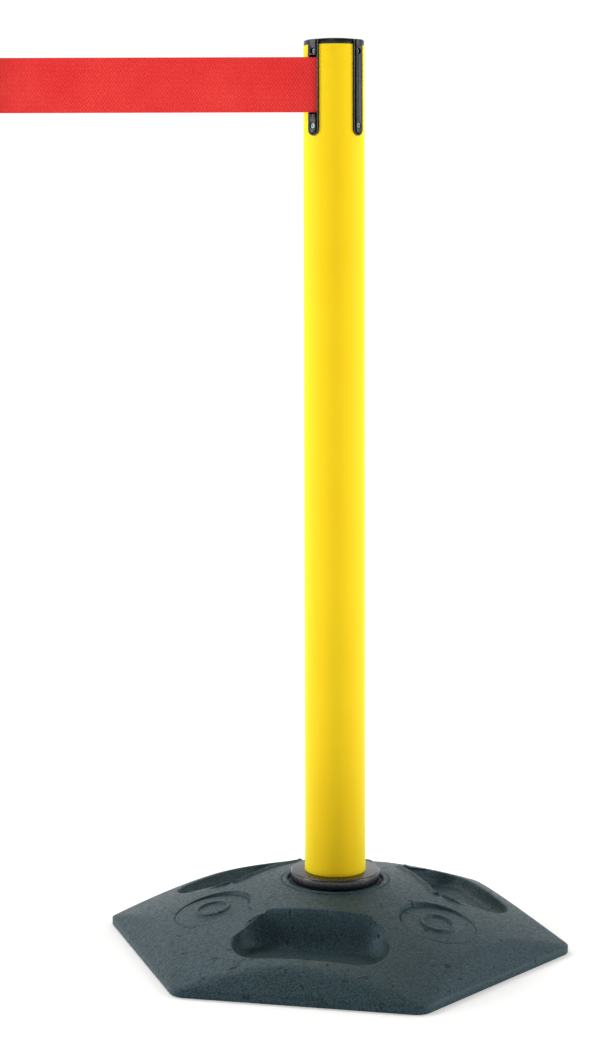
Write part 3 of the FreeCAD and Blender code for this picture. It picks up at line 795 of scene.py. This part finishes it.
def make_belt_roll():
    """The turns of webbing wound on the spool, as one spiral strip."""
    low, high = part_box("belt_roll")
    core = 12.05 * MM
    pitch, strip, steps_per_turn = 0.97, 0.9, 48
    outer = high.x
    belt_low, belt_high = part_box("belt")
    thickness = belt_high.y - belt_low.y
    turns = (outer - thickness - core) / (thickness * pitch)
    steps = int(turns * steps_per_turn)
    loops = []
    for step in range(steps + 1):
        angle = -math.pi / 2 - 2 * math.pi * turns * (1 - step / steps)
        inner = core + (outer - thickness - core) * step / steps
        ring = []
        face = inner + thickness * strip
        for radius, height in ((inner, low.z), (inner, high.z), (face, high.z), (face, low.z)):
            ring.append((radius * math.cos(angle), radius * math.sin(angle), height))
        loops.append(np.array(ring))
    points, faces = strips(loops, closed=True)
    faces.append((3, 2, 1, 0))
    last = len(points) - 4
    faces.append((last, last + 1, last + 2, last + 3))
    roll = mesh_piece("belt_roll_turns", points, faces, smooth=False)
    weld_piece(roll)
    finish_piece(roll, "spool", "belt_red", "belt_roll")


# ---- stage ----

def make_floor():
    size = 24.0
    points = [(-size, -size, 0), (size, -size, 0), (size, size, 0), (-size, size, 0)]
    floor = mesh_piece("floor", points, [(0, 1, 2, 3)])
    shader = Shader("pale_floor_painted_glow", roughness=0.9, specular=0.1)
    shader.color((0.93, 0.93, 0.93))
    # Painted light: the floor glows, though it is no lamp, weakly near the post and more strongly further
    # out.
    shader.surface.inputs["Emission Color"].default_value = (1.0, 1.0, 1.0, 1.0)
    reach = shader.node("ShaderNodeVectorMath", operation="LENGTH")
    shader.link(shader.coordinates, reach.inputs[0])
    painted_floor_glow = shader.spread(reach.outputs["Value"], 0.24, 0.60, 0.22, 0.95)
    shader.link(painted_floor_glow, shader.surface.inputs["Emission Strength"])
    floor.data.materials.append(shader.material)


def make_light(name, place, target, size, power):
    data = bpy.data.lights.new(name, "AREA")
    data.shape = "RECTANGLE"
    data.size, data.size_y = size
    data.energy = power
    light = bpy.data.objects.new(name, data)
    light.location = place
    light.rotation_euler = (Vector(target) - Vector(place)).to_track_quat("-Z", "Y").to_euler()
    bpy.context.scene.collection.objects.link(light)


def make_world():
    """A white studio: bright behind the post, dimmer above and on the viewer's side."""
    world = bpy.data.worlds.new("studio")
    world.use_nodes = True
    tree = world.node_tree
    direction = tree.nodes.new("ShaderNodeTexCoord").outputs["Generated"]
    split = tree.nodes.new("ShaderNodeSeparateXYZ")
    tree.links.new(direction, split.inputs["Vector"])
    lower = tree.nodes.new("ShaderNodeMath")
    lower.operation = "MULTIPLY_ADD"
    lower.inputs[1].default_value = -0.55
    tree.links.new(split.outputs["Z"], lower.inputs[0])
    tree.links.new(split.outputs["Y"], lower.inputs[2])
    fade = tree.nodes.new("ShaderNodeMapRange")
    fade.interpolation_type = "SMOOTHSTEP"
    fade.inputs["From Min"].default_value = -0.4
    fade.inputs["From Max"].default_value = 0.75
    fade.inputs["To Min"].default_value = 0.18
    fade.inputs["To Max"].default_value = 1.05
    tree.links.new(lower.outputs["Value"], fade.inputs["Value"])
    background = tree.nodes["Background"]
    background.inputs["Color"].default_value = (1.0, 1.0, 1.0, 1.0)
    tree.links.new(fade.outputs["Result"], background.inputs["Strength"])
    bpy.context.scene.world = world
    bpy.context.scene.view_settings.view_transform = "Standard"


def make_lights():
    make_light("left_softbox", (-3.0, -0.3, 1.1), (0, 0, 0.5), (1.0, 3.1), 62)
    make_light("right_softbox", (1.8, -0.2, 1.0), (0, 0, 0.5), (0.6, 1.9), 20)
    make_light("top_softbox", (-0.7, 1.0, 2.2), (0, 0, 0), (1.0, 1.0), 16)
    make_light("front_softbox", (-0.5, -2.2, 1.5), (0, 0, 0.75), (0.7, 0.7), 4)
    make_world()


def make_camera():
    """The photograph's view: from the front and a little to the left, below the head, looking level."""
    frame_width, frame_height = 611.0, 1061.0
    focal, middle_across = 2155.7, 248.35
    pitch, roll = 1.797, 0.164
    data = bpy.data.cameras.new("camera")
    data.sensor_fit = "VERTICAL"
    data.sensor_height = 36.0
    data.lens = focal / frame_height * data.sensor_height
    data.shift_x = (frame_width / 2 - middle_across) / frame_height
    data.shift_y = -0.2
    data.clip_end = 50.0
    camera = bpy.data.objects.new("camera", data)
    camera.location = (-0.0916, -2.3, 0.7398)
    camera.rotation_euler = (math.radians(90.0 - pitch), math.radians(roll), 0.0)
    bpy.context.scene.collection.objects.link(camera)
    bpy.context.scene.camera = camera


make_camera()
finish_frame_nodes()
make_tube()
make_base()
make_belt()
make_belt_roll()
make_floor()
make_lights()
